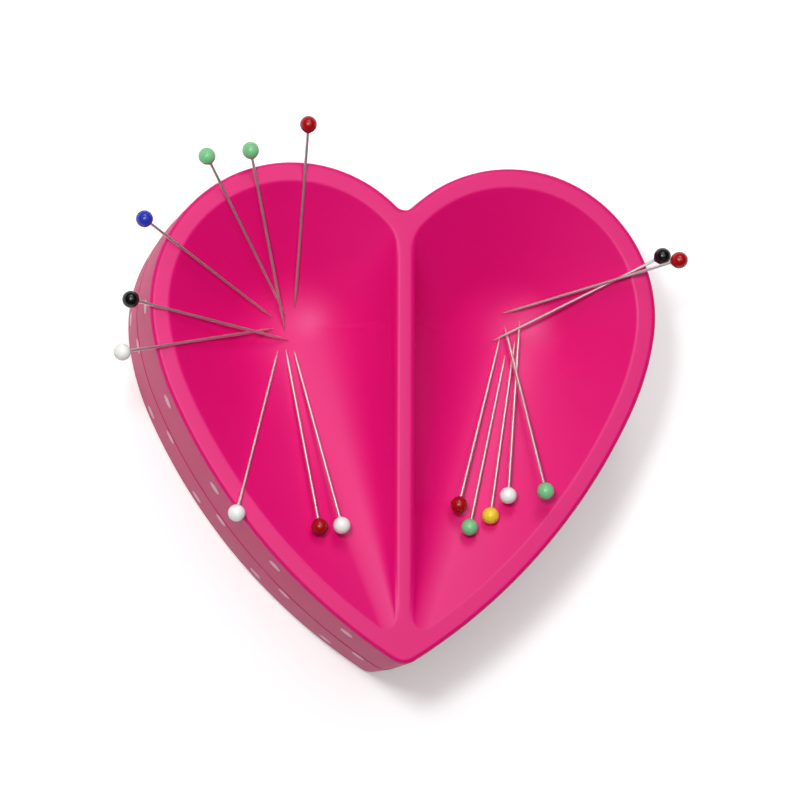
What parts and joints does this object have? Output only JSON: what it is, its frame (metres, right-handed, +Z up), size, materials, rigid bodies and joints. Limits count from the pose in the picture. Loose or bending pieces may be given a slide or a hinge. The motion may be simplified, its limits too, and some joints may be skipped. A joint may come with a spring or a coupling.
{
  "type": "magnetic pin bowl",
  "caption": "Heart-shaped magnetic pin bowl with two scooped dishes parted by a rib, and glass-headed sewing pins held by their points at the bottom of each dish.",
  "frame": {"origin": "middle of the heart's width and length on the plane it rests on, at the underside of its rubber pad", "axes": "+X to the right-hand lobe, +Y from the heart's tip to its notch, +Z up through the open dishes"},
  "size_m": [0.0968, 0.0906, 0.041],
  "materials": {
    "tray_plastic": "polished",
    "base_plastic": "polished",
    "magnet": "nickel plated",
    "cap_plastic": "moulded",
    "screw_steel": "zinc plated",
    "pad_rubber": "matte",
    "pin_steel": "nickel plated, polished",
    "red_glass": "fire polished glass",
    "crimson_glass": "fire polished glass",
    "green_glass": "fire polished glass",
    "blue_glass": "fire polished glass",
    "black_glass": "fire polished glass",
    "white_glass": "fire polished glass",
    "yellow_glass": "fire polished glass"
  },
  "bodies": {
    "bowl": {"top_tray": "tray_plastic", "base_shell": "base_plastic", "left_magnet": "magnet", "right_magnet": "magnet", "left_magnet_cap": "cap_plastic", "right_magnet_cap": "cap_plastic", "base_screws": "screw_steel", "base_pad": "pad_rubber"},
    "left_red_pin": {"left_red_pin_shank": "pin_steel", "left_red_pin_head": "red_glass"},
    "left_green_pin_a": {"left_green_pin_a_shank": "pin_steel", "left_green_pin_a_head": "green_glass"},
    "left_green_pin_b": {"left_green_pin_b_shank": "pin_steel", "left_green_pin_b_head": "green_glass"},
    "left_blue_pin": {"left_blue_pin_shank": "pin_steel", "left_blue_pin_head": "blue_glass"},
    "left_black_pin": {"left_black_pin_shank": "pin_steel", "left_black_pin_head": "black_glass"},
    "left_white_pin_a": {"left_white_pin_a_shank": "pin_steel", "left_white_pin_a_head": "white_glass"},
    "left_white_pin_b": {"left_white_pin_b_shank": "pin_steel", "left_white_pin_b_head": "white_glass"},
    "left_crimson_pin": {"left_crimson_pin_shank": "pin_steel", "left_crimson_pin_head": "crimson_glass"},
    "left_white_pin_c": {"left_white_pin_c_shank": "pin_steel", "left_white_pin_c_head": "white_glass"},
    "right_black_pin": {"right_black_pin_shank": "pin_steel", "right_black_pin_head": "black_glass"},
    "right_red_pin": {"right_red_pin_shank": "pin_steel", "right_red_pin_head": "red_glass"},
    "right_crimson_pin": {"right_crimson_pin_shank": "pin_steel", "right_crimson_pin_head": "crimson_glass"},
    "right_green_pin_a": {"right_green_pin_a_shank": "pin_steel", "right_green_pin_a_head": "green_glass"},
    "right_yellow_pin": {"right_yellow_pin_shank": "pin_steel", "right_yellow_pin_head": "yellow_glass"},
    "right_white_pin": {"right_white_pin_shank": "pin_steel", "right_white_pin_head": "white_glass"},
    "right_green_pin_b": {"right_green_pin_b_shank": "pin_steel", "right_green_pin_b_head": "green_glass"}
  },
  "joints": [
    {"name": "left_red_pin_lift", "type": "slide", "parent": "bowl", "child": "left_red_pin", "axis": [-0.0078, 0.8902, 0.4555], "range_m": [0, 0.06]},
    {"name": "left_green_pin_a_lift", "type": "slide", "parent": "bowl", "child": "left_green_pin_a", "axis": [-0.2529, 0.8703, 0.4226], "range_m": [0, 0.06]},
    {"name": "left_green_pin_b_lift", "type": "slide", "parent": "bowl", "child": "left_green_pin_b", "axis": [-0.4848, 0.7523, 0.4462], "range_m": [0, 0.06]},
    {"name": "left_blue_pin_lift", "type": "slide", "parent": "bowl", "child": "left_blue_pin", "axis": [-0.7453, 0.4216, 0.5165], "range_m": [0, 0.06]},
    {"name": "left_black_pin_lift", "type": "slide", "parent": "bowl", "child": "left_black_pin", "axis": [-0.8874, 0.1326, 0.4415], "range_m": [0, 0.06]},
    {"name": "left_white_pin_a_lift", "type": "slide", "parent": "bowl", "child": "left_white_pin_a", "axis": [-0.85, -0.2025, 0.4863], "range_m": [0, 0.06]},
    {"name": "left_white_pin_b_lift", "type": "slide", "parent": "bowl", "child": "left_white_pin_b", "axis": [-0.2691, -0.8859, 0.3778], "range_m": [0, 0.06]},
    {"name": "left_crimson_pin_lift", "type": "slide", "parent": "bowl", "child": "left_crimson_pin", "axis": [0.133, -0.9465, 0.294], "range_m": [0, 0.06]},
    {"name": "left_white_pin_c_lift", "type": "slide", "parent": "bowl", "child": "left_white_pin_c", "axis": [0.1982, -0.9091, 0.3665], "range_m": [0, 0.06]},
    {"name": "right_black_pin_lift", "type": "slide", "parent": "bowl", "child": "right_black_pin", "axis": [0.815, 0.4189, 0.4003], "range_m": [0, 0.06]},
    {"name": "right_red_pin_lift", "type": "slide", "parent": "bowl", "child": "right_red_pin", "axis": [0.827, 0.2387, 0.509], "range_m": [0, 0.06]},
    {"name": "right_crimson_pin_lift", "type": "slide", "parent": "bowl", "child": "right_crimson_pin", "axis": [-0.3431, -0.9128, 0.2215], "range_m": [0, 0.06]},
    {"name": "right_green_pin_a_lift", "type": "slide", "parent": "bowl", "child": "right_green_pin_a", "axis": [-0.239, -0.9377, 0.2521], "range_m": [0, 0.06]},
    {"name": "right_yellow_pin_lift", "type": "slide", "parent": "bowl", "child": "right_yellow_pin", "axis": [-0.184, -0.9464, 0.2656], "range_m": [0, 0.06]},
    {"name": "right_white_pin_lift", "type": "slide", "parent": "bowl", "child": "right_white_pin", "axis": [-0.1049, -0.95, 0.294], "range_m": [0, 0.06]},
    {"name": "right_green_pin_b_lift", "type": "slide", "parent": "bowl", "child": "right_green_pin_b", "axis": [0.1318, -0.9033, 0.4083], "range_m": [0, 0.06]}
  ]
}
